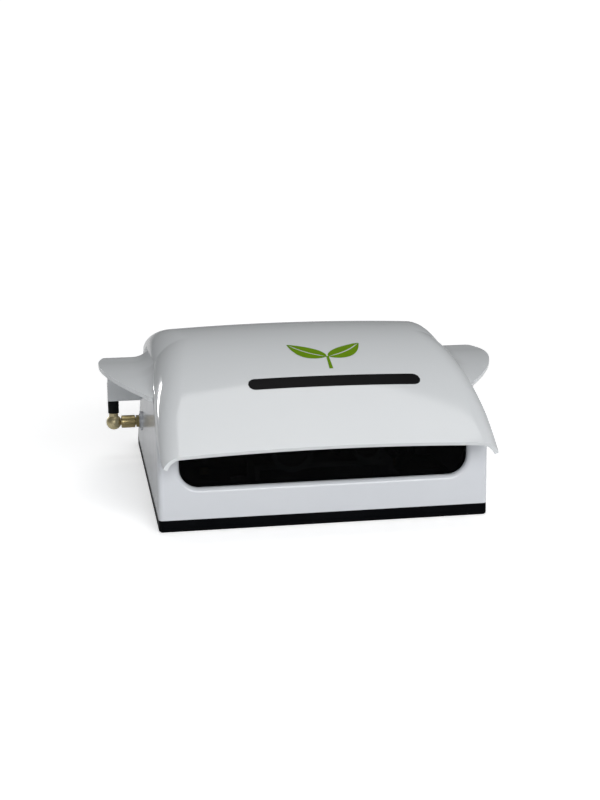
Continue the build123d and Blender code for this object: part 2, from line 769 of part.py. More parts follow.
with BuildPart() as camera_bracket:
    with BuildSketch(Plane.XZ.offset(-bracket_front)):
        with BuildLine():
            Polyline(
                (bracket_left - bracket_foot, land_top),
                (bracket_left + bracket_thickness, land_top),
                (bracket_left + bracket_thickness, bracket_top - bracket_thickness),
                (bracket_right - bracket_thickness, bracket_top - bracket_thickness),
                (bracket_right - bracket_thickness, land_top),
                (bracket_right + bracket_foot, land_top),
                (bracket_right + bracket_foot, land_top + bracket_thickness),
                (bracket_right, land_top + bracket_thickness),
                (bracket_right, bracket_top),
                (bracket_left, bracket_top),
                (bracket_left, land_top + bracket_thickness),
                (bracket_left - bracket_foot, land_top + bracket_thickness),
                close=True,
            )
        make_face()
    extrude(amount=bracket_front - bracket_back)
    with Locations(*[(x, y, bracket_top) for x, y in camera_screw_places]):
        Cylinder(small_screw_radius + clearance, 3 * bracket_thickness, mode=Mode.SUBTRACT)
    with Locations(*[(x, y, land_top) for x, y in bracket_foot_places]):
        Cylinder(small_screw_radius + clearance, 3 * bracket_thickness, mode=Mode.SUBTRACT)
keep("camera_bracket", camera_bracket)

# ---------------------------------------------------------------- circuit board
board_middle = (board_front + board_rear) / 2

with BuildPart() as main_board:
    with BuildSketch(Plane.XY.offset(board_bottom)):
        with Locations((0, board_middle)):
            RectangleRounded(board_width, board_rear - board_front, 3)
        with Locations(*standoff_places):
            Circle(small_screw_radius + clearance, mode=Mode.SUBTRACT)
    extrude(amount=board_thickness)
keep("main_board", main_board)

with BuildPart() as board_standoffs:
    with BuildSketch(Plane.XY.offset(land_top)):
        with Locations(*standoff_places):
            RegularPolygon(standoff_radius, 6)
    extrude(amount=standoff_height)
    with Locations(*[(x, y, board_bottom) for x, y in standoff_places]):
        Cylinder(small_screw_radius + thread_fit, standoff_height + 0.4, mode=Mode.SUBTRACT)
    with Locations(*[(x, y, land_top) for x, y in standoff_places]):
        Cylinder(
            small_screw_radius, small_screw_bite, align=(Align.CENTER, Align.CENTER, Align.MAX)
        )
keep("board_standoffs", board_standoffs)

processor_width, processor_depth, processor_thickness = processor_size
processor_top = board_top + processor_thickness
with BuildPart() as processor_module:
    with BuildSketch(Plane.XY.offset(board_top)):
        with Locations((0, board_middle)):
            Rectangle(processor_width, processor_depth)
    extrude(amount=processor_thickness)
keep("processor_module", processor_module)

with BuildPart() as heatsink:
    with BuildSketch(Plane.XY.offset(processor_top)):
        with Locations((0, board_middle)):
            Rectangle(processor_width, processor_depth)
    extrude(amount=heatsink_base)
    with BuildSketch(Plane.XY.offset(processor_top + heatsink_base)):
        fin_spacing = (processor_width - fin_thickness) / (fin_count - 1)
        with Locations((0, board_middle)):
            with GridLocations(fin_spacing, 0, fin_count, 1):
                Rectangle(fin_thickness, processor_depth)
    extrude(amount=heatsink_height - heatsink_base)
keep("heatsink", heatsink)

with BuildPart() as ribbon_sockets:
    with BuildSketch(Plane.XY.offset(board_top)):
        ribbon_socket_y = board_front + 2 + ribbon_socket_size[1] / 2
        with Locations((main_camera_x, ribbon_socket_y), (second_camera_x, ribbon_socket_y)):
            Rectangle(ribbon_socket_size[0], ribbon_socket_size[1])
    extrude(amount=ribbon_socket_size[2])
keep("ribbon_sockets", ribbon_sockets)

terminal_y = board_rear - terminal_size[1]
with BuildPart() as power_terminal:
    with BuildSketch(Plane.XY.offset(board_top)):
        with Locations((socket_x, terminal_y)):
            Rectangle(terminal_size[0], terminal_size[1])
    extrude(amount=terminal_size[2])
keep("power_terminal", power_terminal)

with BuildPart() as coax_sockets:
    with BuildSketch(Plane.XY.offset(board_top)):
        with Locations(*[(s * coax_x, antenna_y) for s in (-1, 1)]):
            Circle(coax_socket_radius)
    extrude(amount=coax_socket_height)
keep("coax_sockets", coax_sockets)

mast_top = land_top + mast_height
with BuildPart() as gnss_mast:
    with BuildSketch(Plane.XY.offset(land_top)):
        with Locations((0, mast_y)):
            Circle(mast_flange_radius)
        with Locations(*mast_screw_places):
            Circle(small_screw_radius + clearance, mode=Mode.SUBTRACT)
    extrude(amount=mast_flange_thickness)
    with BuildSketch(Plane.XY.offset(land_top)):
        with Locations((0, mast_y)):
            Circle(mast_radius - 1)
    extrude(amount=mast_height - mast_flange_thickness)
    with BuildSketch(Plane.XY.offset(mast_top)):
        with Locations((0, mast_y)):
            Circle(mast_flange_radius)
    extrude(amount=-mast_flange_thickness)
keep("gnss_mast", gnss_mast)

with BuildPart() as gnss_board:
    with BuildSketch(Plane.XY.offset(mast_top)):
        with Locations((0, mast_y)):
            RectangleRounded(patch_board_size, patch_board_size, 2)
    extrude(amount=board_thickness)
keep("gnss_board", gnss_board)

with BuildPart() as gnss_patch:
    with BuildSketch(Plane.XY.offset(mast_top + board_thickness)):
        with Locations((0, mast_y)):
            Rectangle(patch_size, patch_size)
    extrude(amount=patch_thickness)
keep("gnss_patch", gnss_patch)

# ---------------------------------------------------------------- rear wall
inner_rear = rear_y - wall


def rear_axis(x):
    """Plane whose Z runs out of the rear wall, at one of its two sockets."""
    return Plane(origin=(x, rear_y, socket_height), x_dir=(1, 0, 0), z_dir=(0, 1, 0))


with BuildPart() as power_socket:
    with BuildSketch(rear_axis(socket_x)):
        Circle(socket_flange_radius)
    extrude(amount=socket_flange_thickness)
    chamfer(power_socket.faces().sort_by(Axis.Y)[-1].edges(), length=0.5)
    with BuildSketch(rear_axis(socket_x).offset(-wall - socket_tail)):
        Circle(socket_radius)
    extrude(amount=wall + socket_tail + socket_reach)
    chamfer(power_socket.faces().sort_by(Axis.Y)[-1].edges(), length=0.5)
    with BuildSketch(rear_axis(socket_x).offset(socket_reach)):
        Circle(socket_bore_radius)
    extrude(amount=-socket_reach, mode=Mode.SUBTRACT)
    with BuildSketch(rear_axis(socket_x)):
        with PolarLocations(pin_circle, 4):
            Circle(pin_radius)
    extrude(amount=-wall, mode=Mode.SUBTRACT)
keep("power_socket", power_socket)

with BuildPart() as socket_pins:
    with BuildSketch(rear_axis(socket_x).offset(-wall)):
        with PolarLocations(pin_circle, 4):
            Circle(pin_radius)
    extrude(amount=wall + socket_reach - 2)
    chamfer(socket_pins.faces().group_by(Axis.Y)[-1].edges(), length=0.15)
keep("socket_pins", socket_pins)

with BuildPart() as rear_nuts:
    for x in (socket_x, -socket_x):
        with BuildSketch(rear_axis(x).offset(-wall)):
            RegularPolygon(socket_flange_radius, 6)
            Circle(socket_radius, mode=Mode.SUBTRACT)
        extrude(amount=-socket_nut_thickness)
keep("rear_nuts", rear_nuts)

with BuildPart() as vent_plug:
    with BuildSketch(rear_axis(-socket_x)):
        Circle(vent_cap_radius)
    extrude(amount=vent_cap_thickness)
    chamfer(vent_plug.faces().sort_by(Axis.Y)[-1].edges(), length=1.2)
    with BuildSketch(rear_axis(-socket_x)):
        with PolarLocations(vent_cap_radius, 12):
            Circle(1.1)
    extrude(amount=vent_cap_thickness, mode=Mode.SUBTRACT)
    with BuildSketch(rear_axis(-socket_x)):
        Circle(vent_radius)
    extrude(amount=-wall - socket_tail)
keep("vent_plug", vent_plug)

with BuildPart() as power_lead:
    with BuildLine(Plane.YZ.offset(socket_x)) as lead_path:
        FilletPolyline(
            (inner_rear - socket_tail, socket_height),
            (terminal_y, socket_height),
            (terminal_y, board_top + terminal_size[2]),
            radius=min(lead_bend, socket_height - board_top - terminal_size[2] - 0.2),
        )
    with BuildSketch(Plane(origin=lead_path.line @ 0, z_dir=lead_path.line % 0)):
        Circle(lead_radius)
    sweep(path=lead_path.line)
keep("power_lead", power_lead)


# ---------------------------------------------------------------- antennas
def make_antenna(side, s):
    """The jack in one side wall, and the antenna screwed to it. s is -1 for the left."""
    out = Plane(origin=(s * half_width, antenna_y, antenna_height), x_dir=(0, 1, 0), z_dir=(s, 0, 0))

    with BuildPart() as jack:
        with BuildSketch(out.offset(-jack_depth)):
            RegularPolygon(jack_flange_radius, 6)
        extrude(amount=-jack_flange_thickness)
        with BuildSketch(out.offset(-jack_depth - jack_flange_thickness - jack_tail)):
            Circle(jack_radius)
        extrude(amount=jack_tail + jack_flange_thickness + jack_depth + jack_reach)
        chamfer(jack.faces().sort_by(Axis.X)[-1 if s > 0 else 0].edges(), length=0.3)
    keep(side + "_antenna_jack", jack)

    with BuildPart() as washer:
        with BuildSketch(out):
            Circle(washer_radius)
            Circle(jack_radius, mode=Mode.SUBTRACT)
        extrude(amount=washer_thickness)
    keep(side + "_jack_washer", washer)

    with BuildPart() as nut:
        with BuildSketch(out.offset(washer_thickness)):
            RegularPolygon(jack_nut_radius, 6)
            Circle(jack_radius, mode=Mode.SUBTRACT)
        extrude(amount=jack_nut_thickness)
    keep(side + "_jack_nut", nut)

    start = coupling_start - half_width
    end_wall = start + coupling_length - coupling_end
    with BuildPart() as coupling:
        with BuildSketch(out.offset(start)):
            Circle(coupling_radius)
            Circle(jack_radius + running_fit, mode=Mode.SUBTRACT)
        extrude(amount=coupling_length - coupling_end)
        with BuildSketch(out.offset(end_wall)):
            Circle(coupling_radius)
            Circle(elbow_neck_radius + running_fit, mode=Mode.SUBTRACT)
        extrude(amount=coupling_end)
        circles = coupling.edges().filter_by(GeomType.CIRCLE)
        rims = circles.filter_by(lambda e: e.radius > coupling_radius - clearance)
        chamfer(rims, length=0.5)
    keep(side + "_antenna_coupling", coupling)

    with BuildPart() as elbow:
        with Locations(out.offset(elbow_offset).location):
            Sphere(elbow_radius)
        with BuildSketch(out.offset(end_wall - elbow_flange_thickness - running_fit)):
            Circle(elbow_flange_radius)
        extrude(amount=elbow_flange_thickness)
        with BuildSketch(out.offset(end_wall - elbow_flange_thickness - running_fit)):
            Circle(elbow_neck_radius)
        extrude(amount=elbow_offset - end_wall + elbow_flange_thickness)
        centre_x = s * (half_width + elbow_offset)
        with BuildSketch(Plane(origin=(centre_x, antenna_y, antenna_height))):
            Circle(stub_collar_radius)
        extrude(amount=elbow_radius + stub_collar_height)
    keep(side + "_antenna_elbow", elbow)

    with BuildPart() as stub:
        stub_start = antenna_height + elbow_radius + stub_collar_height
        with BuildSketch(Plane(origin=(centre_x, antenna_y, stub_start))):
            Circle(stub_radius)
        extrude(amount=stub_length, taper=0.6)
        fillet(stub.faces().sort_by(Axis.Z)[-1].edges(), radius=2.5)
    keep(side + "_antenna_stub", stub)

    with BuildPart() as pigtail:
        with BuildLine(Plane.XZ.offset(-antenna_y)) as coax_path:
            FilletPolyline(
                (s * (half_width - jack_depth - jack_flange_thickness - jack_tail), antenna_height),
                (s * coax_x, antenna_height),
                (s * coax_x, board_top + coax_socket_height),
                radius=min(coax_bend, antenna_height - board_top - coax_socket_height - 0.2),
            )
        with BuildSketch(Plane(origin=coax_path.line @ 0, z_dir=coax_path.line % 0)):
            Circle(coax_radius)
        sweep(path=coax_path.line)
    keep(side + "_antenna_pigtail", pigtail)


make_antenna("left", -1)
make_antenna("right", 1)

# ---------------------------------------------------------------- files
os.makedirs("parts", exist_ok=True)
for name, piece in pieces.items():
    piece.label = name
    export_step(piece, f"parts/{name}.step")
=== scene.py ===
import json
from math import asin, atan2, cos, pi, radians, sin, sqrt

import bmesh
import bpy
from mathutils import Matrix, Vector


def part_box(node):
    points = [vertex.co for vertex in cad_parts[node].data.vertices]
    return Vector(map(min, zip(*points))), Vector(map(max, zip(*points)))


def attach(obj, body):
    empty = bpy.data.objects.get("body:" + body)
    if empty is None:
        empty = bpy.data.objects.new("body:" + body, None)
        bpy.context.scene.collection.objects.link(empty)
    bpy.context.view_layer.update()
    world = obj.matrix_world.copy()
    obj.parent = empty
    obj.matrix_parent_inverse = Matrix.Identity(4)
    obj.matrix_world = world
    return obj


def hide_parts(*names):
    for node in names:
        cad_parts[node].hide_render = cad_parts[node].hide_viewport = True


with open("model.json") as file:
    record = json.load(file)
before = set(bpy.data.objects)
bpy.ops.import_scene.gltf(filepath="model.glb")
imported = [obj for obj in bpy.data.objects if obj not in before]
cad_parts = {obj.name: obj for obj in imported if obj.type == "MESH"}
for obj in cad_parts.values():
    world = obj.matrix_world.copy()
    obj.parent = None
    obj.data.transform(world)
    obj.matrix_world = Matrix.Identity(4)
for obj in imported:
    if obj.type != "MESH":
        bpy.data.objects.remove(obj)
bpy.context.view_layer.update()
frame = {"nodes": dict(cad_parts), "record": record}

MM = 0.001

# ---------------------------------------------------------------- sizes, in millimetres
WALL = 3.0

# body
HALF_WIDTH = 110.0
FRONT_Y, REAR_Y = -135.0, 135.0
BODY_DEPTH = REAR_Y - FRONT_Y
REAR_TAPER = 7.0
PLAN_CORNER = 10.0
SEAM_HEIGHT = 79.5

# hood: its lip in front, its rim at the sides and its roof
VISOR_OVERHANG = 29.0
LIP_Y = FRONT_Y - VISOR_OVERHANG
LIP_INSET = 0.6
LIP_HEIGHT = 59.3
LIP_RIM_HEIGHT = 49.5
RIM_Y = FRONT_Y + 34.0
CREST_Y, CREST_HEIGHT = FRONT_Y + 115.0, 116.75
REAR_HEIGHT = 85.0
CROWN = 3.2
SHOULDER_Y = FRONT_Y + 90.0
LIP_CORNER, SHOULDER_CORNER, REAR_CORNER = 13.0, 30.0, 4.0
FRONT_CURVE, REAR_CURVE, RADIUS_CURVE = 2.1, 3.0, 1.7
HOOD_EDGE = 1.1

# wings: their plan, then the arch that they end in
WING_SPAN, WING_REAR_SPAN = 32.7, 25.2
WING_ROOT_Y = RIM_Y + 10.0
WING_START_Y = WING_ROOT_Y - 2.6
WING_TIP_Y, WING_CREST_Y = -13.0, -14.0
WING_NOSE_CURVE = 2.2
WING_EASE_LENGTH = 46.0
WING_RISE = 12.9
ARCH_Y, ARCH_RADIUS, WING_END_HEIGHT = 5.0, 65.0, 50.4
ARCH_Z = SEAM_HEIGHT + WING_RISE - ARCH_RADIUS
WING_EDGE, WING_EDGE_ANGLE = 1.2, 45

# wings: how they grow out of the hood, sunk a little into it, and leave it below the seam
WING_FILLET = 11.0
WING_GROWTH = 34.0
WING_SINK = 0.5
WING_CLEARANCE = 0.7
WING_LEAST_REACH = 0.8
LEAVING_BAND = 8.0


# ---------------------------------------------------------------- node helpers
def group_socket(tree, name, kind, way, value=None):
    """Adds a named socket to a node group."""
    socket = tree.interface.new_socket(name=name, in_out=way, socket_type=kind)
    if value is not None:
        socket.default_value = value
    return socket


class Nodes:
    """Short calls for building one node tree."""

    def __init__(self, tree):
        self.tree = tree

    def add(self, kind, **settings):
        node = self.tree.nodes.new(kind)
        for key, value in settings.items():
            setattr(node, key, value)
        return node

    def link(self, source, target):
        self.tree.links.new(source, target)

    def feed(self, socket, value):
        if isinstance(value, bpy.types.NodeSocket):
            self.link(value, socket)
        else:
            socket.default_value = value

    def maths(self, operation, a, b=0.0, clamp=False):
        node = self.add("ShaderNodeMath", operation=operation, use_clamp=clamp)
        self.feed(node.inputs[0], a)
        self.feed(node.inputs[1], b)
        return node.outputs[0]

    def noise(self, vector, scale, detail, roughness=0.55):
        node = self.add("ShaderNodeTexNoise")
        self.link(vector, node.inputs["Vector"])
        self.feed(node.inputs["Scale"], scale)
        self.feed(node.inputs["Detail"], detail)
        self.feed(node.inputs["Roughness"], roughness)
        return node.outputs["Fac"]

    def spread(self, value, low, high, to_low, to_high):
        node = self.add("ShaderNodeMapRange")
        self.feed(node.inputs["Value"], value)
        limits = {"From Min": low, "From Max": high, "To Min": to_low, "To Max": to_high}
        for name, number in limits.items():
            self.feed(node.inputs[name], number)
        return node.outputs["Result"]

    def mix(self, factor, a, b):
        node = self.add("ShaderNodeMix", data_type="RGBA")
        self.feed(node.inputs[0], factor)
        self.feed(node.inputs[6], a)
        self.feed(node.inputs[7], b)
        return node.outputs[2]


def new_group(name, inputs, outputs):
    """A shader node group with named inputs and outputs."""
    tree = bpy.data.node_groups.new(name, "ShaderNodeTree")
    for label, kind, value in inputs:
        group_socket(tree, label, kind, "INPUT", value)
    for label, kind in outputs:
        group_socket(tree, label, kind, "OUTPUT")
    nodes = Nodes(tree)
    return tree, nodes, nodes.add("NodeGroupInput"), nodes.add("NodeGroupOutput")


def mottle_group():
    """Slow and fine unevenness of a surface: a tint mask, and a height for a bump."""
    tree, n, start, end = new_group(
        "surface mottle",
        [
            ("Patch Scale", "NodeSocketFloat", 20.0),
            ("Grain Scale", "NodeSocketFloat", 900.0),
            ("Grain Share", "NodeSocketFloat", 0.5),
        ],
        [("Mask", "NodeSocketFloat"), ("Height", "NodeSocketFloat")],
    )
    place = n.add("ShaderNodeTexCoord").outputs["Object"]
    patches = n.noise(place, start.outputs["Patch Scale"], 4.0)
    grain = n.noise(place, start.outputs["Grain Scale"], 2.0, 0.6)
    share = start.outputs["Grain Share"]
    fine = n.maths("MULTIPLY", grain, share)
    slow = n.maths("MULTIPLY", patches, n.maths("SUBTRACT", 1.0, share))
    n.link(n.spread(patches, 0.3, 0.7, 0.0, 1.0), end.inputs["Mask"])
    n.link(n.maths("ADD", fine, slow), end.inputs["Height"])
    return tree


def edge_wear_group():
    """Mask of the sharp outer edges, broken up by noise, where finish rubs off or dust gathers."""
    tree, n, start, end = new_group(
        "edge wear",
        [
            ("Radius", "NodeSocketFloat", 0.001),
            ("Amount", "NodeSocketFloat", 1.0),
            ("Breakup Scale", "NodeSocketFloat", 300.0),
        ],
        [("Mask", "NodeSocketFloat")],
    )
    bevel = n.add("ShaderNodeBevel", samples=6)
    n.link(start.outputs["Radius"], bevel.inputs["Radius"])
    flat = n.add("ShaderNodeNewGeometry")
    dot = n.add("ShaderNodeVectorMath", operation="DOT_PRODUCT")
    n.link(bevel.outputs["Normal"], dot.inputs[0])
    n.link(flat.outputs["Normal"], dot.inputs[1])
    bent = n.spread(dot.outputs["Value"], 0.995, 0.9, 0.0, 1.0)
    place = n.add("ShaderNodeTexCoord").outputs["Object"]
    broken = n.spread(n.noise(place, start.outputs["Breakup Scale"], 3.0), 0.35, 0.65, 0.2, 1.0)
    patchy = n.maths("MULTIPLY", bent, broken)
    worn = n.maths("MULTIPLY", patchy, start.outputs["Amount"], clamp=True)
    n.link(worn, end.inputs["Mask"])
    return tree


MOTTLE = mottle_group()
EDGE_WEAR = edge_wear_group()


def place_group(nodes, tree, **values):
    """Places a shared group in a material with its own values."""
    node = nodes.add("ShaderNodeGroup", node_tree=tree)
    for name, value in values.items():
        node.inputs[name.replace("_", " ").title()].default_value = value
    return node


def finish(
    name,
    colour,
    shade,
    roughness,
    rough_spread=0.05,
    metallic=0.0,
    patch_scale=20.0,
    grain_scale=900.0,
    grain_share=0.5,
    bump=0.1,
    bump_depth=0.0001,
    wear=None,
    wear_colour=None,
    wear_radius=0.0008,
    **sockets,
):
    """A procedural material: two close colours mottled together, uneven gloss, a fine bump
    and, where wear is given, rubbed edges."""
    material = bpy.data.materials.new(name)
    material.use_nodes = True
    n = Nodes(material.node_tree)
    shader = material.node_tree.nodes["Principled BSDF"]
    mottle = place_group(
        n, MOTTLE, patch_scale=patch_scale, grain_scale=grain_scale, grain_share=grain_share
    )
    base = n.mix(mottle.outputs["Mask"], (*colour, 1.0), (*shade, 1.0))
    rough = n.spread(mottle.outputs["Mask"], 0.0, 1.0, roughness, roughness + rough_spread)
    if wear:
        edges = place_group(n, EDGE_WEAR, radius=wear_radius, amount=wear)
        base = n.mix(edges.outputs["Mask"], base, (*wear_colour, 1.0))
    n.link(base, shader.inputs["Base Color"])
    n.link(rough, shader.inputs["Roughness"])
    bumps = n.add("ShaderNodeBump")
    bumps.inputs["Strength"].default_value = bump
    bumps.inputs["Distance"].default_value = bump_depth
    n.link(mottle.outputs["Height"], bumps.inputs["Height"])
    n.link(bumps.outputs["Normal"], shader.inputs["Normal"])
    shader.inputs["Metallic"].default_value = metallic
    for key, value in sockets.items():
        shader.inputs[key.replace("_", " ").title().replace("Ior", "IOR")].default_value = value
    return material


# ---------------------------------------------------------------- finishes
white_gloss = finish(
    "white gloss moulding", (0.68, 0.70, 0.712), (0.665, 0.685, 0.70), 0.075, 0.04,
    patch_scale=9.0, grain_scale=420.0, grain_share=0.35, bump=0.05, bump_depth=0.0004,
    specular_ior_level=0.45,
)
white_body = finish(
    "white body moulding", (0.62, 0.64, 0.67), (0.60, 0.62, 0.655), 0.14, 0.06,
    patch_scale=11.0, grain_scale=600.0, grain_share=0.45, bump=0.05, bump_depth=0.0003,
    specular_ior_level=0.45,
)
base_black = finish(
    "base satin black", (0.0008, 0.001, 0.0016), (0.002, 0.0024, 0.0032), 0.42, 0.14,
    patch_scale=26.0, grain_scale=1400.0, grain_share=0.8, bump=0.3, bump_depth=0.0002,
    wear=0.35, wear_colour=(0.02, 0.022, 0.025), specular_ior_level=0.03,
)
seal_rubber = finish(
    "seal rubber", (0.03, 0.03, 0.031), (0.05, 0.05, 0.05), 0.7, 0.15, bump=0.2,
)
antenna_brass = finish(
    "bronzed brass", (0.44, 0.36, 0.18), (0.30, 0.245, 0.12), 0.26, 0.2, metallic=1.0,
    patch_scale=120.0, grain_scale=2200.0, grain_share=0.3, bump=0.12, bump_depth=0.0002,
    wear=0.8, wear_colour=(0.72, 0.60, 0.34), wear_radius=0.0004,
)
# the coupling's brass made paler for the elbows: a painted highlight on the elbow's ball, not a
# different metal
elbow_brass_painted_highlight = finish(
    "bronzed brass paled as painted highlight", (0.66, 0.58, 0.36), (0.52, 0.45, 0.27), 0.34, 0.16, metallic=1.0,
    patch_scale=120.0, grain_scale=2200.0, grain_share=0.3, bump=0.12, bump_depth=0.0002,
    wear=0.8, wear_colour=(0.80, 0.72, 0.50), wear_radius=0.0004,
)
plain_brass = finish(
    "machined brass", (0.62, 0.45, 0.18), (0.50, 0.37, 0.16), 0.28, 0.15, metallic=1.0,
    patch_scale=150.0, bump=0.1,
)
stub_rubber = finish(
    "antenna rubber", (0.003, 0.004, 0.005), (0.006, 0.007, 0.008), 0.5, 0.16,
    patch_scale=90.0, grain_scale=2600.0, grain_share=0.8, bump=0.25, bump_depth=0.0001,
    specular_ior_level=0.12,
)
zinc_steel = finish(
    "zinc plated steel", (0.55, 0.56, 0.57), (0.46, 0.47, 0.50), 0.3, 0.18, metallic=1.0,
    patch_scale=180.0, bump=0.1,
)
bare_aluminium = finish(
    "blasted aluminium", (0.62, 0.63, 0.64), (0.54, 0.55, 0.57), 0.42, 0.12, metallic=1.0,
    grain_scale=2400.0, grain_share=0.9, bump=0.2,
)
# black anodising made grey here: painted light, so that the lens rings in the visor's shade show
# faintly through the tinted pane
lens_black = finish(
    "black anodising lightened as painted light", (0.42, 0.47, 0.49), (0.50, 0.54, 0.55), 0.4, 0.1, metallic=0.2,
    patch_scale=140.0, bump=0.1,
)
camera_grey = finish(
    "camera paint", (0.03, 0.03, 0.033), (0.045, 0.045, 0.05), 0.5, 0.1, bump=0.25,
)
frame_black = finish(
    "frame black", (0.006, 0.006, 0.007), (0.01, 0.01, 0.011), 0.6, 0.15, bump=0.25,
)
board_green = finish(
    "solder mask", (0.012, 0.09, 0.035), (0.02, 0.13, 0.05), 0.3, 0.1, patch_scale=60.0,
)
chip_black = finish("moulded package", (0.012, 0.012, 0.014), (0.02, 0.02, 0.022), 0.55, 0.1)
connector_white = finish("connector nylon", (0.66, 0.64, 0.58), (0.6, 0.58, 0.52), 0.45, 0.1)
terminal_green = finish("terminal nylon", (0.02, 0.24, 0.08), (0.03, 0.3, 0.1), 0.45, 0.1)
patch_ceramic = finish(
    "patch ceramic", (0.55, 0.46, 0.33), (0.5, 0.41, 0.29), 0.5, 0.1, bump=0.2,
)
nickel = finish(
    "nickel plate", (0.5, 0.48, 0.45), (0.42, 0.40, 0.38), 0.24, 0.16, metallic=1.0,
    patch_scale=160.0, bump=0.1, wear=0.6, wear_colour=(0.7, 0.68, 0.63), wear_radius=0.0004,
)
contact_gold = finish("contact gold", (0.8, 0.55, 0.2), (0.7, 0.48, 0.18), 0.2, 0.1, metallic=1.0)
vent_black = finish(
    "vent nylon", (0.012, 0.012, 0.013), (0.02, 0.02, 0.021), 0.5, 0.15,
    grain_scale=1800.0, grain_share=0.8, bump=0.3, wear=0.5, wear_colour=(0.06, 0.06, 0.06),
)
lead_black = finish("lead insulation", (0.012, 0.012, 0.012), (0.02, 0.02, 0.02), 0.5, 0.1)
ribbon_amber = finish("ribbon film", (0.45, 0.2, 0.03), (0.5, 0.24, 0.05), 0.3, 0.1)
leaf_green = finish(
    "green print", (0.135, 0.265, 0.0), (0.12, 0.24, 0.0), 0.3, 0.08,
    patch_scale=60.0, bump=0.05, specular_ior_level=0.08,
)
ink_black = finish(
    "black print", (0.002, 0.002, 0.0025), (0.004, 0.004, 0.0045), 0.3, 0.08,
    patch_scale=60.0, bump=0.05, specular_ior_level=0.05,
)
# dark acrylic that lets a little of the lens rings show, helped by painted light on the rings
pane_dark = finish(
    "tinted pane", (0.0004, 0.0004, 0.0006), (0.0007, 0.0007, 0.0009), 0.06, 0.03,
    patch_scale=12.0, bump=0.01, alpha=0.74, specular_ior_level=0.03,
)
lens_coated = finish(
    "coated lens", (0.01, 0.012, 0.03), (0.02, 0.012, 0.04), 0.03, 0.02,
    patch_scale=40.0, bump=0.0, coat_weight=1.0, coat_roughness=0.02,
)

FINISHES = {
    "shell_white": white_body, "base_black": base_black, "seal_rubber": seal_rubber,
    "tinted_pane": pane_dark, "frame_black": frame_black, "brass_plain": plain_brass,
    "zinc_steel": zinc_steel, "bare_aluminium": bare_aluminium, "lens_black": lens_black,
    "lens_glass": lens_coated, "camera_grey": camera_grey, "ribbon_amber": ribbon_amber,
    "board_green": board_green, "chip_black": chip_black, "connector_white": connector_white,
    "terminal_green": terminal_green, "patch_ceramic": patch_ceramic, "nickel_brass": nickel,
    "contact_gold": contact_gold, "vent_black": vent_black, "lead_black": lead_black,
    "antenna_brass": antenna_brass, "antenna_rubber": stub_rubber,
}


def dress(node, material):
    """Gives a carried-over node a finish."""
    for place in frame["nodes"][node].material_slots:
        place.material = material


for row in frame["record"]["subparts"]:
    dress(row["node"], FINISHES[row["material_slot"]])
# the elbows get the paler brass, which paints in the highlight on their balls
for side in ("left", "right"):
    dress(side + "_antenna_elbow", elbow_brass_painted_highlight)


# ---------------------------------------------------------------- mesh helpers
def make_object(name, bm, material):
    """Turns a bmesh given in millimetres into an object at the origin."""
    bmesh.ops.scale(bm, vec=(MM, MM, MM), verts=bm.verts)
    mesh = bpy.data.meshes.new(name)
    bm.to_mesh(mesh)
    bm.free()
    for polygon in mesh.polygons:
        polygon.use_smooth = True
    mesh.materials.append(material)
    obj = bpy.data.objects.new(name, mesh)
    bpy.context.collection.objects.link(obj)
    return obj


def apply_modifiers(obj):
    """Replaces the object's mesh with its evaluated one and drops its modifiers."""
    graph = bpy.context.evaluated_depsgraph_get()
    mesh = bpy.data.meshes.new_from_object(obj.evaluated_get(graph))
    obj.modifiers.clear()
    obj.data = mesh
    return obj


def grid_mesh(rows):
    """A sheet of quads from rows of points."""
    bm = bmesh.new()
    grid = [[bm.verts.new(point) for point in row] for row in rows]
    for upper, lower in zip(grid, grid[1:]):
        for i in range(len(upper) - 1):
            bm.faces.new((upper[i], upper[i + 1], lower[i + 1], lower[i]))
    return bm


def face_up(obj):
    """Turns a flat sheet over where it faces down."""
    if obj.data.polygons[0].normal.z < 0:
        obj.data.flip_normals()


def thicken(obj, edge, angle):
    """Gives a sheet its wall, inwards, and rounds its edges."""
    wall = obj.modifiers.new("wall", "SOLIDIFY")
    wall.thickness = WALL * MM
    wall.offset = -1.0
    wall.use_even_offset = True
    rounding = obj.modifiers.new("edge", "BEVEL")
    rounding.width = edge * MM
    rounding.segments = 3
    rounding.limit_method = "ANGLE"
    rounding.angle_limit = radians(angle)
    rounding.harden_normals = True
    return apply_modifiers(obj)


# ---------------------------------------------------------------- hood surface
def side_lean(y):
    """How far the hood's side stands in, towards the rear."""
    return REAR_TAPER * min(max((y - FRONT_Y) / BODY_DEPTH, 0.0), 1.0)


def roof_height(y):
    """Height of the roof on the centre line."""
    if y < CREST_Y:
        run = (CREST_Y - y) / (CREST_Y - LIP_Y)
        return CREST_HEIGHT - (CREST_HEIGHT - LIP_HEIGHT) * run**FRONT_CURVE
    run = (y - CREST_Y) / (REAR_Y - CREST_Y)
    fall = (sqrt(1 + (REAR_CURVE * run) ** 2) - 1) / (sqrt(1 + REAR_CURVE**2) - 1)
    return CREST_HEIGHT - (CREST_HEIGHT - REAR_HEIGHT) * fall


def corner_radius(y):
    """Radius between the roof and the sides."""
    if y < SHOULDER_Y:
        run = (SHOULDER_Y - y) / (SHOULDER_Y - LIP_Y)
        return SHOULDER_CORNER + (LIP_CORNER - SHOULDER_CORNER) * run
    left = (REAR_Y - y) / (REAR_Y - SHOULDER_Y)
    return REAR_CORNER + (SHOULDER_CORNER - REAR_CORNER) * max(left, 0.0) ** RADIUS_CURVE


def hood_half(y):
    """Half width of the hood, rounded in plan at its rear corners."""
    half = HALF_WIDTH - LIP_INSET * max(0.0, FRONT_Y - y) / VISOR_OVERHANG - side_lean(y)
    past = y - (REAR_Y - PLAN_CORNER)
    if past > 0:
        half -= PLAN_CORNER - sqrt(max(PLAN_CORNER**2 - past**2, 0.0))
    return half


